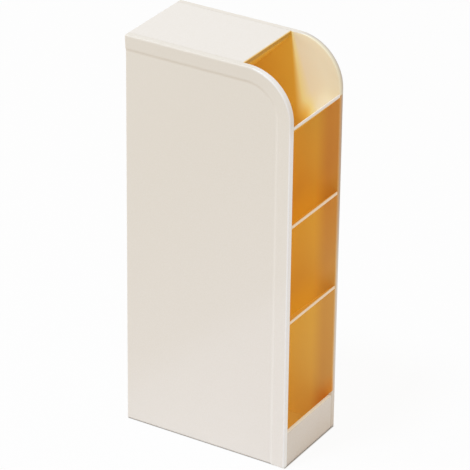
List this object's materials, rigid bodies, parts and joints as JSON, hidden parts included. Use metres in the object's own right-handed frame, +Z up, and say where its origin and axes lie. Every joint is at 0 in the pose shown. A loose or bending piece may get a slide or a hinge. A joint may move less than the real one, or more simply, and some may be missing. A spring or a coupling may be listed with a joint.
{
  "type": "pen holder",
  "caption": "Tall narrow desk pen holder of ivory plastic with a rounded upper front corner and open pockets that slope down towards the back above a low front plinth.",
  "frame": {"origin": "on the desk surface, below the middle of the holder's box", "axes": "+Z up; the openings face -Y; +X is to the right for someone who looks at the openings"},
  "size_m": [0.0508, 0.0936, 0.215],
  "materials": {
    "ivory_shell": "satin moulded plastic, ivory",
    "ivory_plate": "satin moulded plastic, thin and translucent, amber in the depth of the pockets",
    "foot_rubber": "soft grey pad"
  },
  "bodies": {
    "root": {"left_side_panel": "ivory_shell", "right_side_panel": "ivory_shell", "top_panel": "ivory_shell", "back_panel": "ivory_shell", "base_panel": "ivory_shell", "front_plinth": "ivory_shell", "top_slope_plate": "ivory_plate", "upper_divider": "ivory_plate", "middle_divider": "ivory_plate", "lower_divider": "ivory_plate", "foot_pad_front_left": "foot_rubber", "foot_pad_front_right": "foot_rubber", "foot_pad_rear_left": "foot_rubber", "foot_pad_rear_right": "foot_rubber"}
  },
  "joints": []
}
